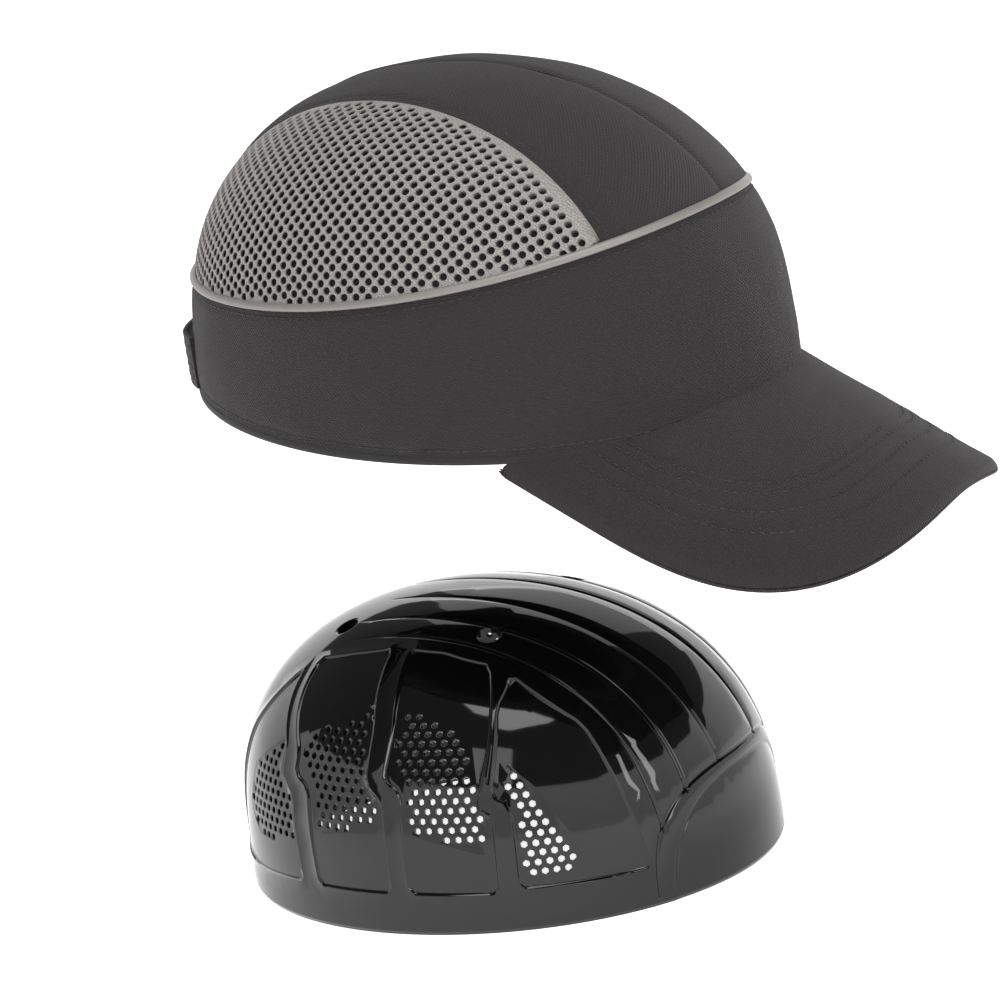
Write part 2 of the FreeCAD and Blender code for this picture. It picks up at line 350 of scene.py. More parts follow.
def within(points, loop):
    """Whether each point is inside a closed line."""
    x, y = points[:, 0][:, None], points[:, 1][:, None]
    ends = np.roll(loop, -1, axis=0)
    crosses = (loop[:, 1] > y) != (ends[:, 1] > y)
    rise = np.where(ends[:, 1] == loop[:, 1], 1e-12, ends[:, 1] - loop[:, 1])
    side = x < (ends[:, 0] - loop[:, 0]) * (y - loop[:, 1]) / rise + loop[:, 0]
    return (crosses & side).sum(1) % 2 == 1


def smooth(share):
    """An even rise from 0 to 1 that starts and ends gently."""
    share = np.clip(share, 0, 1)
    return share * share * (3 - 2 * share)


# ---------------------------------------------------------------- making pieces
def clear_selection():
    if bpy.context.mode != "OBJECT":
        bpy.ops.object.mode_set(mode="OBJECT")
    bpy.ops.object.select_all(action="DESELECT")


def only(piece):
    clear_selection()
    piece.select_set(True)
    bpy.context.view_layer.objects.active = piece


def modify(piece, kind, **settings):
    """Adds a modifier with its settings and applies it."""
    only(piece)
    modifier = piece.modifiers.new(kind.title(), kind)
    for name, value in settings.items():
        setattr(modifier, name, value)
    bpy.ops.object.modifier_apply(modifier=modifier.name)


def in_edit_mode(piece, *steps):
    """Runs mesh operators on the whole piece."""
    only(piece)
    bpy.ops.object.mode_set(mode="EDIT")
    bpy.ops.mesh.select_all(action="SELECT")
    for step in steps:
        step()
    bpy.ops.object.mode_set(mode="OBJECT")


def finish_piece(piece, material, body, replaces=(), angle=50):
    """Gives a finished piece its shading and material, attaches it to its body and hides the CAD nodes
    that it replaces.
    """
    if angle:
        only(piece)
        bpy.ops.object.shade_smooth_by_angle(angle=math.radians(angle), keep_sharp_edges=True)
    piece.data.materials.clear()
    piece.data.materials.append(material)
    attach(piece, body)
    if replaces:
        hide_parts(*replaces)
    return piece


def write_uv(mesh, per_vertex):
    """Writes each vertex's place on the flat cloth as the mesh's UV map."""
    layer = mesh.uv_layers.active or mesh.uv_layers.new(name="Cloth")
    corner = np.empty(len(mesh.loops), int)
    mesh.loops.foreach_get("vertex_index", corner)
    layer.data.foreach_set("uv", per_vertex[corner].astype(np.float32).ravel())


def cloth_map(place, u, v):
    """Where a point of the piece lies on its flat cloth, in millimetres, from its middle."""
    share = np.linspace(0, 1, 61)
    run = run_along(place(share, 0.5 + 0 * share))
    across = np.zeros_like(share)
    for low in np.linspace(0, 0.95, 20):
        across += np.linalg.norm(place(share, low + 0.05 + 0 * share)
                                 - place(share, low + 0 * share), axis=1)
    return np.stack([np.interp(u, share, run), np.interp(u, share, across) * (v - 0.5)], axis=-1)


def bent_grid(name, columns, rows, place, away_from, flat=None):
    """A grid whose two shares, 0 to 1, are bent to place, with its faces looking outwards."""
    clear_selection()
    bpy.ops.mesh.primitive_grid_add(x_subdivisions=columns, y_subdivisions=rows, size=1,
                                    calc_uvs=True)
    piece = bpy.context.object
    piece.name = piece.data.name = name
    mesh = piece.data
    share = np.empty(len(mesh.vertices) * 3)
    mesh.vertices.foreach_get("co", share)
    share = np.clip(share.reshape(-1, 3)[:, :2] + 0.5, 0, 1)
    bent = place(share[:, 0], share[:, 1])
    mesh.vertices.foreach_set("co", (bent * MM).ravel())
    write_uv(mesh, (flat or (lambda u, v: cloth_map(place, u, v)))(share[:, 0], share[:, 1]))
    mesh.update()
    if away_from is not None:
        facing = sum((p.center / MM - Vector(away_from)).dot(p.normal) for p in mesh.polygons)
        if facing < 0:
            in_edit_mode(piece, bpy.ops.mesh.flip_normals)
    return piece


def cloth_piece(name, columns, rows, place, thickness, away_from=INSIDE, flat=None):
    """A layer of cloth of one thickness whose outer face is bent to place. A strip that comes
    round to its own start is joined there."""
    piece = bent_grid(name, columns, rows, place, away_from, flat)
    in_edit_mode(piece, lambda: bpy.ops.mesh.remove_doubles(threshold=0.00002))
    modify(piece, "SOLIDIFY", thickness=thickness * MM, offset=-1, use_even_offset=False)
    return piece


def rolled_piece(name, along, around, place, closed=False):
    """A grid rolled up into a tube, round share v, with its ends closed or joined."""
    piece = bent_grid(name, along, around, place, None)
    in_edit_mode(piece, lambda: bpy.ops.mesh.remove_doubles(threshold=0.00002),
                 lambda: bpy.ops.mesh.fill_holes(sides=0) if not closed else None,
                 lambda: bpy.ops.mesh.normals_make_consistent(inside=False))
    return piece


def normal_of(place, u, v, away_from):
    """A surface's outward direction at its two shares."""
    step = 1e-3
    along = place(np.clip(u + step, 0, 1), v) - place(np.clip(u - step, 0, 1), v)
    across = place(u, np.clip(v + step, 0, 1)) - place(u, np.clip(v - step, 0, 1))
    out = np.cross(along, across)
    out /= np.maximum(np.linalg.norm(out, axis=1, keepdims=True), 1e-9)
    side = np.sign((out * (place(u, v) - away_from)).sum(1))
    return out * side[:, None]


def stitch_row(place, u, v, away_from=INSIDE):
    """A sewing line over a surface: its points and the surface's outward directions."""
    return place(u, v), normal_of(place, u, v, away_from)


def sew(name, rows, body, stand=0.12, radius=0.3):
    """Rows of stitches. One stitch is modelled as a long bead and copied along every row."""
    clear_selection()
    bpy.ops.mesh.primitive_uv_sphere_add(segments=6, ring_count=5, radius=1,
                                         rotation=(0, PI / 2, 0))
    bpy.ops.object.transform_apply(location=False, rotation=True, scale=False)
    bead = bpy.context.object
    shape = np.array([v.co[:] for v in bead.data.vertices])
    shape[:, 0] = np.sign(shape[:, 0]) * np.abs(shape[:, 0]) ** 0.6
    faces = [list(p.vertices) for p in bead.data.polygons]
    bpy.data.objects.remove(bead, do_unlink=True)

    stitch, gap = sizes().stitch / MM, sizes().stitch_gap / MM
    points, polygons = [], []
    for line, out in rows:
        run = run_along(line)
        count = max(1, int(run[-1] / (stitch + gap)))
        for number in range(count):
            middle = (number + 0.5) * run[-1] / count
            spots = np.array([middle - stitch / 2, middle, middle + stitch / 2])
            start, centre, end = (np.array([np.interp(s, run, line[:, k]) for k in range(3)])
                                  for s in spots)
            up = np.array([np.interp(middle, run, out[:, k]) for k in range(3)])
            along = (end - start) / np.linalg.norm(end - start)
            aside = np.cross(up, along)
            # each stitch lies a little askew, as a lockstitch does
            along = along + 0.05 * aside
            at = centre + up * stand
            polygons += [[len(points) + i for i in face] for face in faces]
            points += list(at + shape[:, :1] * along * stitch / 2 + shape[:, 1:2] * aside * radius
                           + shape[:, 2:] * up * (radius - 0.35 * np.abs(shape[:, :1]) * radius))
    mesh = bpy.data.meshes.new(name)
    mesh.from_pydata([tuple(p * MM) for p in points], [], polygons)
    piece = bpy.data.objects.new(name, mesh)
    bpy.context.collection.objects.link(piece)
    in_edit_mode(piece, lambda: bpy.ops.mesh.normals_make_consistent(inside=False))
    return finish_piece(piece, sewing_thread(), body, angle=60)


def true_ring(place, centre, ring):
    """A ring of true size on the bent surface, as its centre and its loop on the pattern."""
    step = 0.5
    a, b, c, d = place(centre + step * np.array([[1, 0], [-1, 0], [0, 1], [0, -1]]))
    along, across = (a - b) / (2 * step), (c - d) / (2 * step)
    metric = np.array([[along @ along, along @ across], [along @ across, across @ across]])
    values, axes = np.linalg.eigh(metric)
    return centre, centre + ring @ (axes @ np.diag(values ** -0.5) @ axes.T)


def pierced_skin(name, outline, holes, lines, place, relief, wall, spacing, grow=1.25, dish=0.3):
    """A skin cut and pierced on its flat pattern, then bent to place with a wall behind it.

    holes are (centre, loop) pairs whose edges are rounded by dish. lines are the edges of what
    relief, a depth at each point of the pattern, has to follow.
    """
    points, edges, owner = [], [], []

    def lay(line, closed, hole=None):
        first = len(points)
        points.extend(line)
        owner.extend([hole] * len(line))
        edges.extend((first + i, first + (i + 1) % len(line))
                     for i in range(len(line) - (not closed)))
        return list(range(first, len(points)))

    loops = [lay(outline, True)]
    for number, (centre, loop) in enumerate(holes):
        loops.append(lay(loop, True, number))
        lay(centre + (loop - centre) * grow, True)
    for line in lines:
        lay(line, False)
    tree = kdtree.KDTree(len(points))
    for index, point in enumerate(points):
        tree.insert((*point, 0), index)
    tree.balance()
    low, high = np.min(outline, axis=0), np.max(outline, axis=0)
    grid = np.array([(x + (row % 2) * spacing / 2, y)
                     for row, y in enumerate(np.arange(low[1] + 0.37, high[1], spacing * 0.87))
                     for x in np.arange(low[0] + 0.21, high[0], spacing)])
    grid = [p for p in grid[within(grid, outline)] if tree.find((*p, 0))[2] > 0.55 * spacing]
    lay(grid, True)
    del edges[-len(grid):]

    flat, _, triangles, sources, _, inside = delaunay_2d_cdt(
        [Vector(p) for p in points], edges, loops, 1, 1e-5, True)
    triangles = [t for t, found in zip(triangles, inside) if not any(i > 0 for i in found)]
    used = sorted({i for t in triangles for i in t})
    index = {old: new for new, old in enumerate(used)}
    triangles = [[index[i] for i in t] for t in triangles]
    pattern = np.array([flat[i][:] for i in used])
    hole_of = [next((owner[s] for s in sources[i] if owner[s] is not None), None) for i in used]

    rounded = np.array([h is not None for h in hole_of])
    outer = place(pattern, -relief(pattern) - dish * rounded)
    inner = place(pattern, -wall)

    def tilt(step, stand):
        a, b = (place(pattern + s * np.array(step), stand(pattern + s * np.array(step)))
                for s in (1, -1))
        return a - b
    normals = []
    for stand in (lambda p: -relief(p), lambda p: -wall):
        out = np.cross(tilt((0.2, 0), stand), tilt((0, 0.2), stand))
        normals.append(out / np.maximum(np.linalg.norm(out, axis=1, keepdims=True), 1e-9))
    if ((outer - outer.mean(0)) * normals[0]).sum() < 0:
        normals = [-n for n in normals]
    centres = place(np.array([holes[h][0] if h is not None else pattern[i]
                              for i, h in enumerate(hole_of)]), 0.0)
    lean = centres - outer
    lean /= np.maximum(np.linalg.norm(lean, axis=1, keepdims=True), 1e-6)
    normals[0] = np.where(rounded[:, None], normals[0] + 0.9 * lean, normals[0])
    normals[0] /= np.linalg.norm(normals[0], axis=1, keepdims=True)

    a, b, c = (outer[[t[k] for t in triangles[:400]]] for k in range(3))
    first = np.array([t[0] for t in triangles[:400]])
    if (np.cross(b - a, c - a) * normals[0][first]).sum() < 0:
        triangles = [t[::-1] for t in triangles]
    count = len(pattern)
    sides = {(t[i], t[(i + 1) % 3]) for t in triangles for i in range(3)}
    walls = [(b, a, a + count, b + count) for a, b in sides if (b, a) not in sides]
    walls.sort()
    faces = ([tuple(t) for t in triangles] + [tuple(i + count for i in t[::-1]) for t in triangles]
             + walls)
    mesh = bpy.data.meshes.new(name)
    mesh.from_pydata([tuple(p * MM) for p in np.concatenate([outer, inner])], [], faces)
    mesh.shade_smooth()
    write_uv(mesh, np.concatenate([pattern, pattern]))
    # this mask is 1 off the hole rings and 0 on them; the air mesh colour paints shade where it is 0,
    # at each hole's edge
    lit_ridge = mesh.attributes.new("lit_ridge", "FLOAT", "POINT")
    lit_ridge.data.foreach_set("value", np.concatenate([~rounded, np.zeros(count)]).astype(np.float32))
    both = np.concatenate([normals[0], -normals[1]])
    shading = [both[i] for face in faces[:2 * len(triangles)] for i in face]
    for polygon in mesh.polygons[2 * len(triangles):]:
        shading += [np.array(polygon.normal)] * 4
    mesh.normals_split_custom_set([tuple(n) for n in shading])
    piece = bpy.data.objects.new(name, mesh)
    bpy.context.collection.objects.link(piece)
    return piece


# ---------------------------------------------------------------- materials
def put(tree, kind, inputs=(), **settings):
    """Adds a shader node with its settings; inputs are values or other nodes' sockets."""
    node = tree.nodes.new("ShaderNode" + kind)
    for name, value in settings.items():
        setattr(node, name, value)
    for socket, value in dict(inputs).items():
        if isinstance(value, bpy.types.NodeSocket):
            tree.links.new(value, node.inputs[socket])
        else:
            node.inputs[socket].default_value = value
    return node


def finish_material(name, colour_of, height_of, relief, **surface):
    """A Principled material: colour and height functions add their nodes to its tree."""
    if name in bpy.data.materials:
        return bpy.data.materials[name]
    material = bpy.data.materials.new(name)
    material.use_nodes = True
    tree = material.node_tree
    tree.nodes.clear()
    bump = put(tree, "Bump", {"Strength": 1.0, "Distance": relief * MM,
                              "Height": height_of(tree)})
    settings = {key.replace("_", " "): value for key, value in surface.items()}
    shader = put(tree, "BsdfPrincipled", {"Base Color": colour_of(tree),
                                          "Normal": bump.outputs[0], **settings})
    put(tree, "OutputMaterial", {"Surface": shader.outputs[0]})
    return material


def varied(tone, coordinate, scale, spread):
    """Colour that drifts a little lighter and darker over the piece."""
    def nodes(tree):
        place = put(tree, "TexCoord").outputs[coordinate]
        drift = put(tree, "TexNoise", {"Vector": place, "Scale": scale, "Detail": 4.0})
        light = [min(1, c * (1 + spread)) for c in tone[:3]] + [1]
        dark = [c * (1 - spread) for c in tone[:3]] + [1]
        return put(tree, "Mix", {0: drift.outputs["Fac"], 6: dark, 7: light},
                   data_type="RGBA").outputs[2]
    return nodes


def woven(thread, slub):
    """Height of crossed threads, thread millimetres apart, with uneven yarn."""
    def nodes(tree):
        cloth = put(tree, "TexCoord").outputs["UV"]
        warp = put(tree, "TexWave", {"Vector": cloth, "Scale": 0.314 / thread,
                                     "Distortion": 0.6, "Detail": 1.0, "Detail Scale": 2.0},
                   bands_direction="DIAGONAL")
        weft = put(tree, "TexWave", {"Vector": cloth, "Scale": 0.314 / thread,
                                     "Distortion": 0.6, "Detail": 1.0, "Detail Scale": 2.0},
                   bands_direction="Y")
        yarn = put(tree, "TexNoise", {"Vector": cloth, "Scale": 0.9 / thread, "Detail": 3.0})
        cross = put(tree, "Math", {0: warp.outputs["Fac"], 1: weft.outputs["Fac"]},
                    operation="MULTIPLY")
        uneven = put(tree, "Math", {0: yarn.outputs["Fac"], 1: slub}, operation="MULTIPLY")
        return put(tree, "Math", {0: cross.outputs[0], 1: uneven.outputs[0]}).outputs[0]
    return nodes


def grained(coordinate, scale, detail=4.0):
    """Height of a fine random grain."""
    def nodes(tree):
        place = put(tree, "TexCoord").outputs[coordinate]
        return put(tree, "TexNoise", {"Vector": place, "Scale": scale,
                                      "Detail": detail}).outputs["Fac"]
    return nodes


def looped(scale):
    """Height of small round loops or cells."""
    def nodes(tree):
        place = put(tree, "TexCoord").outputs["UV"]
        cell = put(tree, "TexVoronoi", {"Vector": place, "Scale": scale},
                   feature="SMOOTH_F1")
        return put(tree, "Math", {0: 1.0, 1: cell.outputs["Distance"]},
                   operation="SUBTRACT").outputs[0]
    return nodes


def twill():
    """Dyed cotton and polyester twill: matt, fine slanted grain and a faint nap at the edges.
    The real threads are 0.4 mm apart, drawn 0.8 mm apart so that they show."""
    return finish_material("cotton_polyester_twill_dyed",
                           varied(colours().cloth, "UV", 1.5, 0.22), woven(0.8, 0.9), 0.26,
                           Roughness=0.88, IOR=1.5, Specular_IOR_Level=0.15,
                           Sheen_Weight=0.10, Sheen_Roughness=0.5)


def yarn_shade_and_glint(tree):
    """Yarn colour with painted light: painted shade darkens it towards each hole's edge, and fibre
    noise lightens the ridges between the holes in spots as painted glints.
    """
    cloth = put(tree, "TexCoord").outputs["UV"]
    lit_ridge = put(tree, "Attribute", attribute_name="lit_ridge").outputs["Fac"]
    # painted highlights: this fibre noise lifts the ridges' colour in spots, standing in for glints on
    # the yarn
    fibre = put(tree, "TexNoise", {"Vector": cloth, "Scale": 1.9, "Detail": 5.0}).outputs["Fac"]
    glint = put(tree, "MapRange", {0: fibre, 1: 0.35, 2: 0.65, 3: 0.35, 4: 1.0}).outputs[0]
    share = put(tree, "Math", {0: lit_ridge, 1: glint}, operation="MULTIPLY").outputs[0]
    # painted shade: the yarn colour cut to a sixth for the hole edges
    dark = [c * 0.16 for c in colours().yarn[:3]] + [1]
    return put(tree, "Mix", {0: share, 6: dark, 7: list(colours().yarn)},
               data_type="RGBA").outputs[2]


def air_mesh():
    """Knitted polyester spacer mesh: bright filament yarn with a silky gloss, with painted glints on
    its ridges and painted shade at its hole edges.
    """
    return finish_material("polyester_air_mesh_knitted", yarn_shade_and_glint, woven(0.55, 1.2), 0.22,
                           Roughness=0.5, IOR=1.55, Sheen_Weight=0.10, Sheen_Roughness=0.4)


def mesh_lining():
    """Thin warp knit behind the air mesh, which makes its holes look dark."""
    return finish_material("polyester_tricot_lining_knitted",
                           varied(colours().lining, "UV", 0.8, 0.15), woven(0.6, 0.5), 0.06,
                           Roughness=0.9, IOR=1.5)


def glass_bead_tape():
    """Glass bead tape: a grey, slightly pearly face with a fine even grain."""
    return finish_material("glass_bead_tape_coated",
                           varied(colours().piping, "Object", 260.0, 0.07),
                           grained("Object", 2600.0), 0.05,
                           Roughness=0.42, IOR=1.52, Metallic=0.15)


def folded_tape():
    """Woven cotton tape folded over the edges: dull, with close ribs."""
    return finish_material("cotton_tape_woven", varied(colours().trim, "UV", 0.7, 0.12),
                           woven(0.8, 0.4), 0.10, Roughness=0.9, IOR=1.5, Sheen_Weight=0.1)


def towelling():
    """Cotton terry: soft loops 1.3 mm apart that catch light on their tops."""
    return finish_material("cotton_terry_looped", varied(colours().towel, "UV", 0.5, 0.2),
                           looped(0.8), 0.5, Roughness=0.95, IOR=1.5, Sheen_Weight=0.3)


def sewing_thread():
    """Twisted polyester thread: a little gloss along each stitch."""
    return finish_material("polyester_thread_twisted",
                           varied(colours().thread, "Object", 900.0, 0.2),
                           grained("Object", 3000.0), 0.04, Roughness=0.6, IOR=1.55)


def loop_pile():
    """Nylon loop tape: a mat of fine brushed loops."""
    return finish_material("nylon_loop_pile_brushed", varied(colours().trim, "UV", 1.5, 0.25),
                           looped(1.6), 0.35, Roughness=0.95, IOR=1.53, Sheen_Weight=0.4)


def hook_pile():
    """Nylon hook tape: rows of cut hooks with a slight plastic gloss."""
    return finish_material("nylon_hook_pile_moulded", varied(colours().trim, "UV", 1.5, 0.2),
                           looped(1.1), 0.5, Roughness=0.55, IOR=1.53)


def brim_plastic():
    """Polyethylene board, pressed flat: waxy and slightly mottled."""
    return finish_material("polyethylene_board_pressed",
                           varied(linear("22272a"), "Object", 60.0, 0.1),
                           grained("Object", 900.0), 0.03, Roughness=0.5, IOR=1.51)


def gloss_abs():
    """ABS from a polished mould: deep black with sharp reflections and a faint flow ripple."""
    return finish_material("abs_injection_moulded_gloss",
                           varied(colours().shell, "Object", 25.0, 0.15),
                           grained("Object", 55.0, 2.0), 0.012, Roughness=0.06, IOR=1.54,
                           Specular_IOR_Level=0.42)


def soft_foam():
    """EVA foam skin: matt with fine closed cells."""
    return finish_material("eva_foam_closed_cell", varied(colours().foam, "UV", 0.4, 0.15),
                           looped(1.0), 0.12, Roughness=0.85, IOR=1.49)


# ---------------------------------------------------------------- crown
PUCKER = 0.35


def crease(gap, width=1.1, depth=PUCKER):
    """How far the cloth is drawn in at a distance from a sewing line."""
    return -depth * np.exp(-(gap / width) ** 2)


def ripple(points, scale, amount, seed):
    """Soft unevenness of hand-sewn cloth."""
    return np.array([noise.noise(Vector(p) / scale + Vector((seed, 0, 0))) for p in points]) * amount


def strip_face(side):
    """Place on the crown strip's left (1) or right (-1) half, from the middle to its seam."""
    def place(u, v):
        turn = PI * u
        base = crown_at(turn, v)
        aside = np.abs(base[:, 1])
        wide = seam_aside(base[:, 0])
        stand = crease(aside, 1.0, 0.5) + crease(wide - aside - 2.8) + crease(wide - aside, 1.2, 0.5)
        stand = stand + 0.35 * smooth((aside - 0.5) / 3) + ripple(base, 26.0, 0.5, 3.0 * side) - 0.2
        bent = crown_at(turn, v, stand)
        return bent * np.array([1, side, 1])
    return place


class CAP_OT_crown_panels(bpy.types.Operator):
    """Sews the crown strip from two halves and tapes their seam inside"""
    bl_idname = "cap.crown_panels"
    bl_label = "Crown panels"

    def execute(self, context):
        for name, side in (("left", 1), ("right", -1)):
            piece = cloth_piece(f"crown_{name}", 150, 26, strip_face(side), 1.4)
            finish_piece(piece, twill(), "cap", [f"crown_panel_{name}"])

        def tape(u, v):
            return crown_at(PI * u, (2 * v - 1) * 6 / 37.5, -1.55)
        piece = cloth_piece("seam_tape", 90, 6, tape, 0.55)
        finish_piece(piece, folded_tape(), "cap", ["crown_seam_tape"])
        return {"FINISHED"}


def side_pattern():
    """The left mesh panel laid flat: x along piping and seam, then run and width at each x."""
    ends = crown_at(np.array([PI, 0.0]), np.array([1.0, 1.0]))[:, 0]
    x, share = np.linspace(ends[0] + 2.0, ends[1] - 2.0, 400), np.linspace(0, 1, 140)

    def even_steps(rise):
        run = run_along(side_at(x, rise + 0 * x))
        return np.interp(share * run[-1], run, x)
    low, high = even_steps(0.0), even_steps(1.0)
    sections = np.stack([side_at(low + (high - low) * r, r + 0 * low)
                         for r in np.linspace(0, 1, 25)])
    wide = np.linalg.norm(np.diff(sections, axis=0), axis=2).sum(0)
    return low, high, run_along(sections[12]), wide


# the middle of the dome that the knit is spread over, its radius and the panel's lean
DOME_MIDDLE = np.array([-5.0, 0.0, 16.0])
DOME_RADIUS = 101.0
PANEL_LEAN = math.radians(38)


def knit_lattice(pitch, row, flat_panel):
    """Centres of the knit's holes on the flat panel, evenly spread as on the bent cap."""
    low, high, run, wide = flat_panel
    along, up = np.meshgrid(np.arange(-160, 160, pitch), np.arange(-60, 90, row))
    along[1::2] += pitch / 2
    along, up = along.ravel(), up.ravel() + 0.6
    away = np.maximum(np.hypot(along, up), 1e-6)
    tilt = away / DOME_RADIUS
    up_axis = np.array([0, -math.sin(PANEL_LEAN), math.cos(PANEL_LEAN)])
    out_axis = np.array([0, math.cos(PANEL_LEAN), math.sin(PANEL_LEAN)])
    sideways = (along[:, None] * np.array([1, 0, 0]) + up[:, None] * up_axis) / away[:, None]
    way = np.cos(tilt)[:, None] * out_axis + np.sin(tilt)[:, None] * sideways
    x, y, z = reach(lambda r: tuple(DOME_MIDDLE[k] + r * way[:, k] for k in range(3)), 0.0).T
    rise = 1 - np.arctan2(y - seam_aside(x), z - piping_height(x)) / (PI / 2)
    found = (rise > 0) & (rise < 1)
    flat = []
    for at, share in zip(x[found], rise[found]):
        where = np.interp(at, low * (1 - share) + high * share, run)
        flat.append((where, share * np.interp(where, run, wide)))
    return np.array(flat)


class CAP_OT_mesh_panels(bpy.types.Operator):
    """Knits the two air mesh side panels with their open holes, and their dark lining"""
    bl_idname = "cap.mesh_panels"
    bl_label = "Air mesh panels"

    def execute(self, context):
        low, high, run, wide = side_pattern()
        pitch, row = sizes().mesh_pitch / MM, sizes().mesh_row / MM
        outline = refine(np.concatenate([np.stack([run, 0 * run], 1)[::4],
                                         np.stack([run, wide], 1)[::-4]]), 2.5, closed=True)

        def bend(side):
            def place(pattern, stand=0.0):
                along = pattern[:, 0]
                rise = np.clip(pattern[:, 1] / np.interp(along, run, wide), 0, 1)
                x = np.interp(along, run, low) * (1 - rise) + np.interp(along, run, high) * rise
                return side_at(x, rise, stand) * np.array([1, side, 1])
            return place

        def belly(pattern):
            rise = pattern[:, 1] / np.maximum(np.interp(pattern[:, 0], run, wide), 1)
            return 0.45 - 0.7 * np.clip(4 * rise * (1 - rise), 0, 1) ** 0.5

        centres = knit_lattice(pitch, row, (low, high, run, wide))
        centres = centres[within(centres, outline)]
        centres = centres[distance(centres, outline, closed=True) > 1.6]
        turn = np.linspace(0, 2 * PI, 10, endpoint=False)
        ring = 1.28 * np.stack([np.cos(turn), np.sin(turn)], axis=1)
        holes = [true_ring(bend(1), centre, ring) for centre in centres]
        for name, side in (("left", 1), ("right", -1)):
            piece = pierced_skin(f"air_mesh_{name}", outline, holes, [], bend(side), belly, 0.95,
                                 3.0, grow=1.28, dish=0.45)
            finish_piece(piece, air_mesh(), "cap", [f"mesh_panel_{name}"], angle=None)

            def behind(u, v, bent=bend(side)):
                along = run[0] + (run[-1] - run[0]) * u
                flat = np.stack([along, v * np.interp(along, run, wide)], axis=1)
                return bent(flat, -1.45)
            piece = cloth_piece(f"mesh_lining_{name}", 60, 20, behind, 0.25)
            finish_piece(piece, mesh_lining(), "cap")
        return {"FINISHED"}


# ---------------------------------------------------------------- band and its trim
ARCH_MIDDLE, ARCH_RADIUS = 4.0, 34.0
# each slack fold: where it starts, its lean, its width and how far it stands out
FOLDS = ((18, 0.5, 4.2, 1.5), (28, 0.7, 3.6, -1.1), (5, 0.45, 5, 0.8), (40, 0.4, 6, 0.45),
         (-30, -0.2, 9, 0.4), (-62, 0.3, 7, -0.4))


class CAP_OT_piping(bpy.types.Operator):
    """Rolls the reflective piping between crown and band"""
    bl_idname = "cap.piping"
    bl_label = "Reflective piping"

    def execute(self, context):
        def place(u, v):
            turn, around = 2 * PI * u, 2 * PI * v
            _, line = band_limits(turn)
            height = 1.35 * squared(np.sin(around), 0.9)
            return cap_at(turn, line + height, 0.05 + 1.3 * np.cos(around))
        piece = rolled_piece("piping", 330, 14, place, closed=True)
        finish_piece(piece, glass_bead_tape(), "cap", ["reflective_piping"])
        return {"FINISHED"}


def band_face(turn, rise, stand=0.0):
    """The band's cloth with its sewn lines drawn in and its slack folds."""
    low, high = band_limits(turn)
    below_piping, above_edge = (high - low) * (1 - rise), (high - low) * rise
    base = band_at(turn, rise)
    folds = np.zeros_like(turn)
    for at, lean, width, amount in FOLDS:
        gap = base[:, 0] - at - lean * (base[:, 2] - 5)
        reach_up = np.exp(-((base[:, 2] - 4) / 17) ** 2)
        folds = folds + amount * np.exp(-(gap / width) ** 2) * reach_up
    draw = crease(below_piping - 3.6) + crease(above_edge - 2.4, 1.0, 0.3)
    draw = draw + crease(below_piping, 1.2, 0.5)
    uneven = ripple(base, 30.0, 0.9, 11.0) + ripple(base, 9.0, 0.16, 5.0)
    ease = smooth(below_piping / 6) * smooth(above_edge / 5)
    return band_at(turn, rise, stand + draw + (folds + uneven) * ease)


def cut_arch(piece, radius):
    """Cuts the rear opening out of a piece of the band."""
    clear_selection()
    bpy.ops.mesh.primitive_cylinder_add(vertices=96, radius=radius * MM, depth=0.12,
                                        location=(-0.14, 0, ARCH_MIDDLE * MM),
                                        rotation=(0, PI / 2, 0))
    cutter = bpy.context.object
    modify(piece, "BOOLEAN", object=cutter, operation="DIFFERENCE", solver="EXACT")
    bpy.data.objects.remove(cutter, do_unlink=True)


class CAP_OT_side_band(bpy.types.Operator):
    """Cuts the side band with its rear arch, and lines it with the sweatband"""
    bl_idname = "cap.side_band"
    bl_label = "Side band and sweatband"

    def execute(self, context):
        def face(u, v):
            return band_face(2 * PI * u + PI, v)
        piece = cloth_piece("side_band", 360, 40, face, 1.4)
        cut_arch(piece, ARCH_RADIUS + 1.5)
        finish_piece(piece, twill(), "cap", ["side_band"])

        def lining(u, v):
            turn = 2 * PI * u + PI
            low, _ = band_limits(turn)
            return cap_at(turn, low + 0.3 + (27 - low) * v, -1.6 - 0 * turn)
        piece = cloth_piece("sweatband", 240, 18, lining, 1.7)
        cut_arch(piece, ARCH_RADIUS + 1.5)
        finish_piece(piece, towelling(), "cap", ["sweatband"])
        return {"FINISHED"}


def arch_line(share, radius):
    """A point on the rear arch, from its right foot over the top to its left one."""
    foot = np.arcsin((7.2 - ARCH_MIDDLE) / radius)
    turn = PI - foot - share * (PI - 2 * foot)
    return radius * np.cos(turn), ARCH_MIDDLE + radius * np.sin(turn)


def rear_at(y, z, stand=0.0):
    """The back of the cap seen from behind."""
    centre, half_length, half_width = cap_section(z, stand)
    return np.stack([centre - half_length * np.sqrt(1 - (y / half_width) ** 2), y + 0 * z,
                     z + 0 * y], axis=-1)


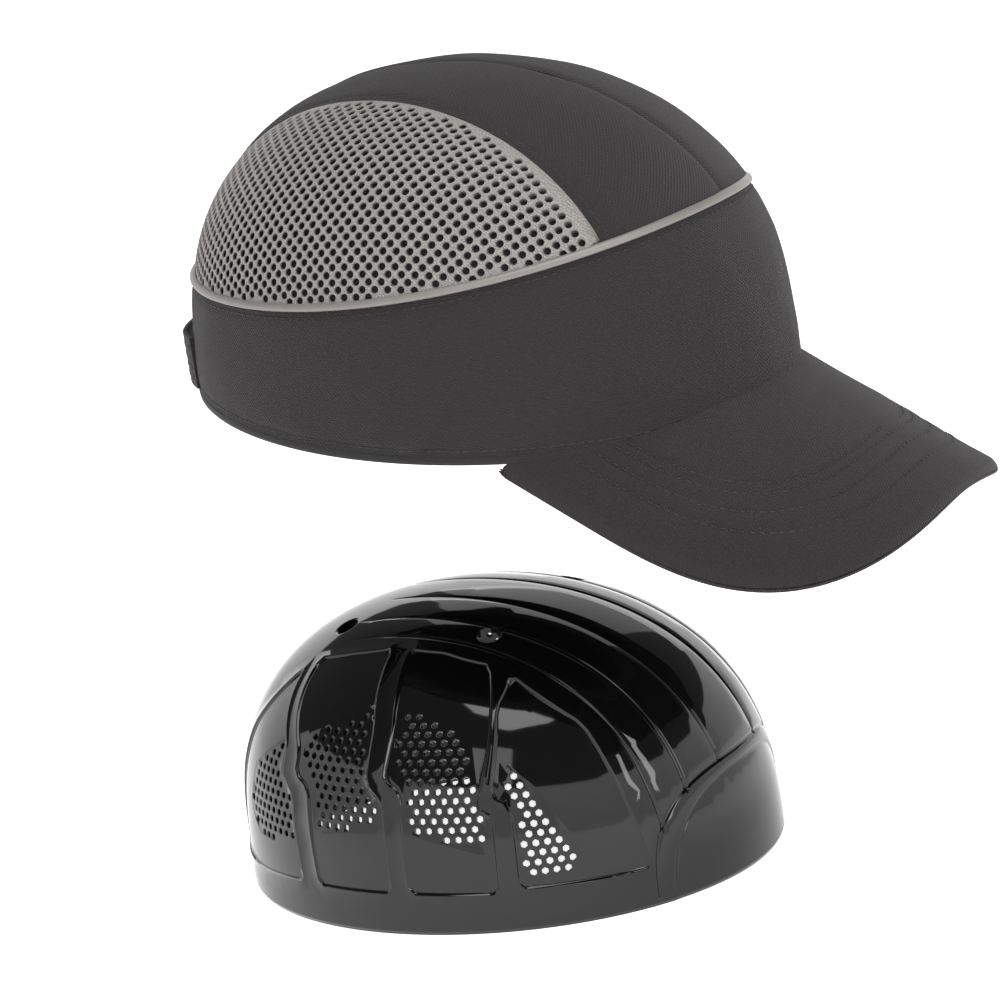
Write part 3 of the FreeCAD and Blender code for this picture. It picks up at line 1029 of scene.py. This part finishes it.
class CAP_OT_bindings(bpy.types.Operator):
    """Folds the binding over the lower edge and round the rear arch"""
    bl_idname = "cap.bindings"
    bl_label = "Bindings"

    def execute(self, context):
        def edge(u, v):
            limit = PI - math.asin(33.4 / HALF_WIDTH)
            turn, around = limit * (2 * u - 1), 2 * PI * v
            low, _ = band_limits(turn)
            up, out = squared(np.sin(around), 0.6), squared(np.cos(around), 0.6)
            return cap_at(turn, low - 1.1 + 1.8 * up, -1.6 + 1.95 * out)
        piece = rolled_piece("edge_tape", 320, 14, edge)
        finish_piece(piece, folded_tape(), "cap", ["edge_binding"])

        def arch(u, v):
            over, out = squared(np.cos(2 * PI * v), 0.6), squared(np.sin(2 * PI * v), 0.6)
            y, z = arch_line(u, ARCH_RADIUS + 1.7 + 1.7 * over)
            return rear_at(y, z, -1.6 + 2.0 * out)
        piece = rolled_piece("arch_tape", 90, 14, arch)
        finish_piece(piece, folded_tape(), "cap", ["arch_binding"])
        return {"FINISHED"}


# ---------------------------------------------------------------- brim
# how far each stitch row keeps from the brim's front and from its sides
BRIM_ROWS = ((14.0, 10.0), (21.5, 14.5), (27.5, 19.0), (30.5, 22.0))
BRIM_THICK = 3.8
BRIM_ROUND = 1.9


def brim_plan(u, v):
    """A plan position on the brim: u from right to left, v from the cap to the outer edge."""
    root_turn = math.radians(66.2) * (2 * u - 1)
    root_x, root_y = HALF_LENGTH * np.cos(root_turn), HALF_WIDTH * np.sin(root_turn)
    edge_x, edge_y = brim_outline(u)
    return root_x + (edge_x - root_x) * v, root_y + (edge_y - root_y) * v


def brim_face(under):
    """Place on the brim's upper or under cover, drawn in at its stitching and round its edge."""
    rows = [refine(np.stack(brim_outline(np.linspace(0, 1, 90), *inset), 1), 4)
            for inset in BRIM_ROWS]
    rim = refine(np.stack(brim_outline(np.linspace(0, 1, 200)), 1), 3)

    def place(u, v):
        v = 1 - (1 - v) ** 1.6
        x, y = brim_plan(u, v)
        spots = np.stack([x, y], 1)
        draw = sum(crease(distance(spots, row), 1.3, 0.32) for row in rows)
        gap = np.clip(BRIM_ROUND - distance(spots, rim), 0, BRIM_ROUND)
        turned = BRIM_ROUND - np.sqrt(np.maximum(BRIM_ROUND ** 2 - gap ** 2, 0))
        swell = ripple(np.stack([x, y, 0 * x], 1), 24.0, 0.5, 7.0) * smooth(distance(spots, rim) / 8)
        depth = turned - draw - swell
        return brim_at(x, y, BRIM_THICK - depth if under else depth)
    return place


def brim_cloth(u, v):
    """The brim cover's cloth laid flat."""
    x, y = brim_plan(u, 1 - (1 - v) ** 1.6)
    return np.stack([x / math.cos(BRIM_TILT), BRIM_BEND * np.arcsin(y / BRIM_BEND)], axis=-1)


class CAP_OT_brim(bpy.types.Operator):
    """Covers the bent brim board with cloth above and below"""
    bl_idname = "cap.brim"
    bl_label = "Brim"

    def execute(self, context):
        for name, under in (("brim_cover_top", False), ("brim_cover_under", True)):
            away = ABOVE_BRIM if under else BELOW_BRIM
            piece = cloth_piece(name.replace("cover_", ""), 200, 62, brim_face(under), 0.8, away,
                                brim_cloth)
            finish_piece(piece, twill(), "cap", [name])

        def board(u, v):
            x, y = brim_plan(u, 0.03 + 0.9 * v)
            return brim_at(x, y, 1.2)
        piece = cloth_piece("brim_stiffener", 60, 16, board, 1.4, BELOW_BRIM)
        finish_piece(piece, brim_plastic(), "cap", ["brim_board"])
        return {"FINISHED"}


# ---------------------------------------------------------------- rear closure
STRAP_LOW, STRAP_HIGH = 8.0, 27.0
REAR_BEND = 78.2


def strap_at(y, z, stand):
    """On the closure's own bend, stand outside the band's cloth."""
    radius = REAR_BEND + stand
    return np.stack([REAR_BEND - HALF_LENGTH - np.sqrt(radius ** 2 - y ** 2), y + 0 * z, z + 0 * y],
                    axis=-1)


def strap_face(start, end, stand, margin=0.0, rounded=0.0, puff=0.0, climb=0.0):
    """A strip of the closure from one side place to another, with a rounded far end. It climbs
    towards that end."""
    middle, half = (STRAP_LOW + STRAP_HIGH) / 2, (STRAP_HIGH - STRAP_LOW) / 2 - margin

    def place(u, v):
        y = start + (end - start) * u
        past = np.clip(y - (end - rounded), 0, rounded)
        reach_up = half - (rounded - np.sqrt(np.maximum(rounded ** 2 - past ** 2, 0)))
        gap = np.minimum(half * np.minimum(v, 1 - v) * 2, np.minimum(y - start, end - y))
        lift = puff * smooth(gap / 2.5) + crease(gap - 2.2, 0.8, 0.25)
        return strap_at(y, middle + (2 * v - 1) * reach_up, stand + lift + climb * u)
    return place


strap_top = strap_face(-39.3, 24, 3.3, 0, 7, 0.25)
foot_top = strap_face(-52, -40.6, 1.6, puff=0.2, climb=1.7)


class CAP_OT_closure(bpy.types.Operator):
    """Makes the rear tab, the closure strap and their hook and loop patches"""
    bl_idname = "cap.closure"
    bl_label = "Rear closure"

    def execute(self, context):
        def tab(u, v):
            y = -14 + 48.5 * u
            return rear_at(y, STRAP_LOW + 0.4 + (STRAP_HIGH - STRAP_LOW - 0.8) * v, -0.25)
        piece = cloth_piece("closure_tab", 36, 14, tab, 1.2)
        finish_piece(piece, twill(), "cap", ["strap_tab"])
        piece = cloth_piece("loop_tape", 24, 12, strap_face(-11.5, 17, 0.85, 2.5), 0.8)
        finish_piece(piece, loop_pile(), "cap", ["loop_patch"])
        piece = cloth_piece("strap_foot", 14, 16, foot_top, 1.4)
        finish_piece(piece, twill(), "cap", ["strap_anchor"])
        piece = cloth_piece("strap", 60, 18, strap_top, 1.2)
        finish_piece(piece, twill(), "strap", ["closure_strap"])
        piece = cloth_piece("hook_tape", 24, 12, strap_face(-9, 21.5, 2.0, 2.5, 5), 0.7)
        finish_piece(piece, hook_pile(), "strap", ["hook_patch"])
        return {"FINISHED"}


# ---------------------------------------------------------------- sewing
class CAP_OT_stitching(bpy.types.Operator):
    """Sews the topstitching of crown, band, brim and strap"""
    bl_idname = "cap.stitching"
    bl_label = "Topstitching"

    def execute(self, context):
        share = np.linspace(0.004, 0.996, 500)
        rows = []
        for side in (1, -1):
            face = strip_face(side)
            wide = seam_aside(crown_at(PI * share, 0.95 + 0 * share)[:, 0])
            rows.append(stitch_row(face, share, 1 - 2.8 / wide))
        sew("crown_stitches", rows, "cap")

        def band(u, v):
            return band_face(2 * PI * u + PI, v)
        turn = 2 * PI * share + PI
        low, high = band_limits(turn)
        below = stitch_row(band, share, 1 - 3.6 / (high - low))
        opening = math.asin(36 / HALF_WIDTH) + 0.02
        kept = np.abs(turn % (2 * PI) - PI) < PI - opening
        above = stitch_row(band, share, 2.4 / (high - low))
        above = [part[kept] for part in above]
        sew("band_stitches", [below, above], "cap")

        covers = []
        for inset in BRIM_ROWS:
            x, y = brim_outline(np.linspace(0, 1, 300), *inset)
            outside = (x / 113.5) ** 2 + (y / 94.5) ** 2 > 1
            x, y = x[outside], y[outside]
            for depth, away in ((0.32, BELOW_BRIM), (BRIM_THICK - 0.32, ABOVE_BRIM)):
                line = brim_at(x, y, depth)
                fore = brim_at(x + 0.1, y, depth) - line
                across = brim_at(x, y + 0.1, depth) - line
                out = np.cross(fore, across)
                out /= np.linalg.norm(out, axis=1, keepdims=True)
                out *= np.sign((out * (line - away)).sum(1))[:, None]
                covers.append((line, out))
        sew("brim_stitches", covers, "cap")

        part = np.linspace(0, 1, 60)
        strap = [stitch_row(strap_top, 0.05 + 0.9 * part, edge + 0 * part)
                 for edge in (0.12, 0.88)]
        sew("strap_stitches", strap, "strap")
        box = [stitch_row(foot_top, 0.2 + 0.6 * part, edge + 0 * part) for edge in (0.12, 0.88)]
        box += [stitch_row(foot_top, edge + 0 * part, 0.12 + 0.76 * part) for edge in (0.2, 0.8)]
        sew("strap_foot_stitches", box, "cap")
        return {"FINISHED"}


# ---------------------------------------------------------------- hard shell insert
# corners of the right side's panels and pierced fields: degrees round the shell from its front,
# then the share of its height
PANELS = (
    ((-35, .14), (-37, .32), (-41, .66), (-54, .83), (-61, .75), (-67, .48), (-63, .44), (-64, .15)),
    ((-59, .86), (-75, .90), (-90, .91), (-89, .70), (-91, .54), (-87, .51), (-87, .15), (-68, .14),
     (-67, .41), (-70, .44)),
    ((-98, .91), (-115, .89), (-131, .86), (-117, .60), (-117, .53), (-112, .49), (-110, .15),
     (-91, .15), (-91, .47), (-95, .53), (-94, .70)),
    ((-135, .83), (-148, .60), (-155, .36), (-157, .13), (-134, .13), (-115, .15), (-117, .45),
     (-122, .52), (-122, .60)),
)
PIERCED = (
    ((-49, .21), (-52, .18), (-58, .17), (-62.5, .16), (-62, .43), (-65, .47), (-63, .60), (-60, .55),
     (-57, .50), (-52, .34)),
    ((-69, .28), (-78, .33), (-86, .37), (-86, .52), (-89.5, .56), (-88, .70), (-87.5, .77),
     (-78, .75), (-69, .68), (-69.5, .45), (-68.5, .42)),
    ((-92, .37), (-101, .36), (-110, .34), (-111, .50), (-115.5, .54), (-116, .66), (-105, .73),
     (-95, .78), (-95.5, .54), (-92, .47)),
    ((-117, .27), (-126, .26), (-134, .26), (-140, .34), (-139, .50), (-131, .58), (-124, .64),
     (-124, .52), (-118.5, .46)),
)
# plan lines of the crown's grooves
GROOVES = (((104, 15), (60, 13.5), (20, 12), (-30, 10)), ((97, 33), (60, 30.5), (20, 29), (-30, 26)),
           ((88, 45), (60, 43), (20, 40), (-50, 36)))


def mirrored(lines):
    """Each line and its twin on the other side of the shell."""
    return [line * np.array([1, side]) for line in lines for side in (1, -1)]


def from_above(line):
    """A plan line over the shell as places on its pattern."""
    x, y = np.array(line, float).T
    rise = shell_under(x, y, 0.0) / SHELL_HEIGHT
    turn = np.degrees(np.arctan2(y / SHELL_WIDTH, (x + shell_lean(rise)) / SHELL_LENGTH))
    return shell_pattern(turn, np.maximum(rise, 0.02))


def moulded_loop(corners):
    """A panel's outline on the pattern, with soft corners."""
    fine = refine(np.array(corners, float) * [1, 60], 6, closed=True) / [1, 60]
    return refine(soften(shell_pattern(fine[:, 0], fine[:, 1])), 4, closed=True)


# half-width, height and roundness of the two raised borders on the front
FRONT_ARCHES = ((50.0, 43.5, 3.0), (44.0, 39.0, 2.6))


def arch_on_front(half_width, height, power):
    """The raised border's line over the shell's front, from one foot to the other."""
    turn = np.linspace(PI, 0, 60)
    y = half_width * squared(np.cos(turn), 2 / power)
    rise = np.maximum(height * np.sin(turn) ** (2 / power), 1.5) / SHELL_HEIGHT
    aside = np.clip(y / (SHELL_WIDTH * shell_shrink(rise)), -1, 1)
    return shell_pattern(np.degrees(np.arcsin(aside)), rise)


def arch_share(pattern, half_width, height, power):
    """How deep a place lies under a front arch: above 0 inside it, below 0 outside."""
    x, y, z = (shell_at(pattern) - SHELL_PLACE).T
    inside = 1 - np.abs(y / half_width) ** power - np.abs(z / height) ** power
    return np.where(x > 0, inside, -1.0)


class CAP_OT_hard_shell(bpy.types.Operator):
    """Moulds the hard shell with its panels, grooves, vents and side perforations"""
    bl_idname = "cap.hard_shell"
    bl_label = "Hard shell"

    def execute(self, context):
        panels = mirrored([moulded_loop(p) for p in PANELS])
        fields = mirrored([moulded_loop(p) for p in PIERCED])
        grooves = mirrored([refine(from_above(refine(np.array(g, float), 8)), 4) for g in GROOVES])
        arches = [refine(arch_on_front(*arch), 4) for arch in FRONT_ARCHES]
        turn = np.linspace(0, 2 * PI, 150, endpoint=False)
        rim = np.stack([LENGTH_RUN * np.cos(turn), WIDTH_RUN * np.sin(turn)], 1)

        def fade(pattern):
            """Grooves die out over the crown, behind the middle."""
            return smooth((shell_at(pattern)[:, 0] - SHELL_PLACE[0] + 45) / 60)

        def relief(pattern):
            depth = np.zeros(len(pattern))
            for loop in panels:
                near = distance(pattern, loop, closed=True)
                inside = within(pattern, loop)
                depth += np.where(inside, 0.7 * smooth(near / 1.1), 0)
                depth -= np.where(inside, 0, 0.22 * np.exp(-(near / 0.9) ** 2))
            for loop in fields:
                near = distance(pattern, loop, closed=True)
                depth += np.where(within(pattern, loop), 0.45 * smooth(near / 1.0), 0)
            clear = fade(pattern) * (1 - smooth(arch_share(pattern, *FRONT_ARCHES[0]) * 12))
            for line in grooves:
                near = distance(pattern, line)
                depth += 0.75 * clear * np.exp(-(near / 0.85) ** 2)
            for line in arches:
                depth += 0.6 * np.exp(-(distance(pattern, line) / 0.9) ** 2)
            depth += 0.4 * smooth(arch_share(pattern, *FRONT_ARCHES[1]) * 14)
            depth += 0.9 * (1 - smooth(distance(pattern, rim, closed=True) / 1.6))
            return depth

        lines = []
        for loop in panels:
            lines += [np.concatenate([side, side[:1]])
                      for side in (beside(loop, g, closed=True) for g in (-1.0, -0.4, 0.15, 0.6, 1.2))]
        for loop in fields:
            lines += [np.concatenate([side, side[:1]])
                      for side in (beside(loop, g, closed=True) for g in (0.0, 0.5, 1.0))]
        for line in grooves + arches:
            lines += [beside(line, g) for g in (-1.5, -0.7, 0.0, 0.7, 1.5)]
        rings = [rim * (1 - g / LENGTH_RUN) for g in (0.5, 1.0, 1.7)]
        lines += [np.concatenate([ring, ring[:1]]) for ring in rings]
        lines = [line[np.hypot(line[:, 0] / LENGTH_RUN, line[:, 1] / WIDTH_RUN) < 0.985]
                 if index < len(lines) - 3 else line for index, line in enumerate(lines)]

        holes = self.side_holes(fields) + self.crown_vents()
        piece = pierced_skin("shell", rim, holes, [l for l in lines if len(l) > 1], shell_at,
                             relief, 2.9, 5.5, grow=1.24, dish=0.28)
        finish_piece(piece, gloss_abs(), "insert", ["hard_shell"], angle=None)
        return {"FINISHED"}

    def side_holes(self, fields):
        """Six-sided holes in rows round the shell, kept where they lie inside a field."""
        pitch, half = sizes().vent_pitch / MM, sizes().vent_width / MM / 2
        centres = []
        for number in range(4, 34):
            radius = 1 - number * pitch * 0.866 / MEAN_RUN
            step = pitch / (SHELL_MEAN * np.interp(radius, SHELL_RUN, MERIDIAN_SHRINK))
            count = int(PI / step)
            turn = -PI / 2 + (np.arange(-count // 2, count // 2) + 0.5 * (number % 2)) * step
            centres += [(LENGTH_RUN * radius * math.cos(t), WIDTH_RUN * radius * math.sin(t))
                        for t in turn]
        centres = np.array(centres)
        right = [loop for loop in fields if loop[:, 1].mean() < 0]
        kept = np.zeros(len(centres), bool)
        for loop in right:
            kept |= within(centres, loop) & (distance(centres, loop, closed=True) > 1.5)
        return [hole for side in (1, -1) for centre in centres[kept]
                for hole in [self.hole(centre * [1, side], half, 6, PI / 6)]]

    def crown_vents(self):
        """Four round vents over the crown."""
        spots = from_above([(x, y) for x, y in ((22, 33), (22, -33), (-43, 25), (-43, -25))])
        return [self.hole(spot, 4.4, 20, 0.0) for spot in spots]

    def hole(self, centre, half, sides, start):
        """A hole with its corners set by the way to the middle of the shell."""
        turn = np.linspace(0, 2 * PI, sides, endpoint=False) + start
        ring = np.stack([np.cos(turn), np.sin(turn)], 1) * half
        outward = centre / np.linalg.norm(centre)
        basis = np.array([[outward[1], -outward[0]], outward])
        return true_ring(shell_at, np.array(centre), ring @ basis)


class CAP_OT_crown_pad(bpy.types.Operator):
    """Moulds the foam pad under the crown of the shell"""
    bl_idname = "cap.crown_pad"
    bl_label = "Crown pad"

    def execute(self, context):
        def place(u, v):
            x, y = -67 + 128 * u, -19.5 + 39 * v
            end = np.clip(np.abs(x + 3) - 52, 0, 12)
            y = y * (1 - 0.42 * (1 - np.sqrt(1 - (end / 12.1) ** 2)))
            channel = sum(np.exp(-((x - at) / 1.6) ** 2) for at in (-45, -24, -3, 18, 39))
            height = shell_under(x, y, 7.6 - 1.0 * channel)
            return np.stack([x, y, height], axis=-1) + SHELL_PLACE
        piece = bent_grid("pad", 110, 34, place, np.array([-26.0, 0.0, -60.0]))
        modify(piece, "SOLIDIFY", thickness=4.2 * MM, offset=-1, use_even_offset=False)
        modify(piece, "BEVEL", width=1.3 * MM, segments=3, limit_method="ANGLE",
               angle_limit=math.radians(60))
        finish_piece(piece, soft_foam(), "insert", ["crown_pad"])
        return {"FINISHED"}


# ---------------------------------------------------------------- stage
FLOOR_REACH, FLOOR_FLAT, FLOOR_RISE = 6000, 3200, 2500
CAMERA_PLACE = Vector((0.748897, -1.273011, 0.331850))
CAMERA_BACK = Vector((0.494645, -0.832361, 0.250003)).normalized()
CAMERA_ROLL = math.radians(8.88)
CAMERA_LENS = 150.5


class CAP_OT_stage(bpy.types.Operator):
    """Sets the pale floor, the soft lights and the camera"""
    bl_idname = "cap.stage"
    bl_label = "Stage"

    def execute(self, context):
        floor_level = CAD_BOUNDS[0][2] / MM

        def sweep(u, v):
            """A round floor that curves up far out, all the way round."""
            turn, out = 2 * PI * u, FLOOR_REACH * v
            bend = np.clip((out - FLOOR_FLAT) / (FLOOR_REACH - FLOOR_FLAT + 1), 0, 1)
            up = FLOOR_RISE * (1 - np.sqrt(1 - bend ** 2))
            return np.stack([out * np.cos(turn), out * np.sin(turn), floor_level + up], axis=-1)
        floor = rolled_piece("floor", 96, 60, sweep, closed=True)
        in_edit_mode(floor, bpy.ops.mesh.flip_normals)
        only(floor)
        bpy.ops.object.shade_smooth()
        floor.data.materials.append(self.paper())

        self.soft_light("top_light", (0.25, -0.25, 1.5), 1.2, 1.2, 19)
        self.soft_light("key_light", (0.3, -1.8, 1.1), 0.6, 0.8, 3.5)
        self.soft_light("side_light", (1.7, -0.7, 0.7), 0.4, 1.3, 9)
        self.soft_light("back_light", (-0.5, 1.6, 0.9), 1.2, 0.8, 2)
        world = bpy.data.worlds.new("studio")
        bpy.context.scene.world = world
        world.use_nodes = True
        world.node_tree.nodes["Background"].inputs["Color"].default_value = linear("ffffff")
        world.node_tree.nodes["Background"].inputs["Strength"].default_value = 0.15
        bpy.context.scene.view_settings.view_transform = "Standard"

        camera = bpy.data.objects.new("camera", bpy.data.cameras.new("camera"))
        bpy.context.collection.objects.link(camera)
        right = Vector((0, 0, 1)).cross(CAMERA_BACK).normalized()
        up = CAMERA_BACK.cross(right)
        across = math.cos(CAMERA_ROLL) * right - math.sin(CAMERA_ROLL) * up
        upwards = math.sin(CAMERA_ROLL) * right + math.cos(CAMERA_ROLL) * up
        turn = Matrix((across, upwards, CAMERA_BACK)).transposed()
        camera.matrix_world = Matrix.Translation(CAMERA_PLACE) @ turn.to_4x4()
        camera.data.sensor_width = 36
        camera.data.lens = CAMERA_LENS
        bpy.context.scene.camera = camera
        return {"FINISHED"}

    def paper(self):
        """Matt white background paper: even, with a very fine tooth."""
        return finish_material("paper_background_matt", varied(linear("f4f4f4"), "Object", 3.0, 0.01),
                               grained("Object", 400.0), 0.02, Roughness=0.9, IOR=1.45,
                               Emission_Color=linear("ffffff"), Emission_Strength=0.88)

    def soft_light(self, name, place, width, height, power):
        """A wide soft lamp that is aimed between the cap and its insert."""
        light = bpy.data.lights.new(name, "AREA")
        light.shape = "RECTANGLE"
        light.size, light.size_y, light.energy = width, height, power
        lamp = bpy.data.objects.new(name, light)
        bpy.context.collection.objects.link(lamp)
        lamp.location = place
        aim = Vector((0, 0, -0.04)) - Vector(place)
        lamp.rotation_euler = aim.to_track_quat("-Z", "Y").to_euler()


# ---------------------------------------------------------------- panel and run
OPERATORS = (CAP_OT_stage, CAP_OT_crown_panels, CAP_OT_mesh_panels, CAP_OT_piping,
             CAP_OT_side_band, CAP_OT_bindings, CAP_OT_brim, CAP_OT_closure, CAP_OT_stitching,
             CAP_OT_hard_shell, CAP_OT_crown_pad)


class CAP_PT_pieces(bpy.types.Panel):
    """Lists the cap's pieces, sizes and colours"""
    bl_idname = "CAP_PT_pieces"
    bl_label = "Bump cap"
    bl_space_type = "VIEW_3D"
    bl_region_type = "UI"
    bl_category = "Bump cap"

    def draw(self, context):
        for group in (context.scene.cap_sizes, context.scene.cap_colours):
            for name in group.__annotations__:
                self.layout.prop(group, name)
        for operator in OPERATORS:
            self.layout.operator(operator.bl_idname)


CLASSES = (CapColours, CapSizes) + OPERATORS + (CAP_PT_pieces,)


def register():
    for cls in CLASSES:
        bpy.utils.register_class(cls)
    bpy.types.Scene.cap_colours = PointerProperty(type=CapColours)
    bpy.types.Scene.cap_sizes = PointerProperty(type=CapSizes)


def unregister():
    del bpy.types.Scene.cap_sizes
    del bpy.types.Scene.cap_colours
    for cls in reversed(CLASSES):
        bpy.utils.unregister_class(cls)


def main():
    register()
    for operator in OPERATORS:
        family, name = operator.bl_idname.split(".")
        getattr(getattr(bpy.ops, family), name)()


if __name__ == "__main__":
    main()
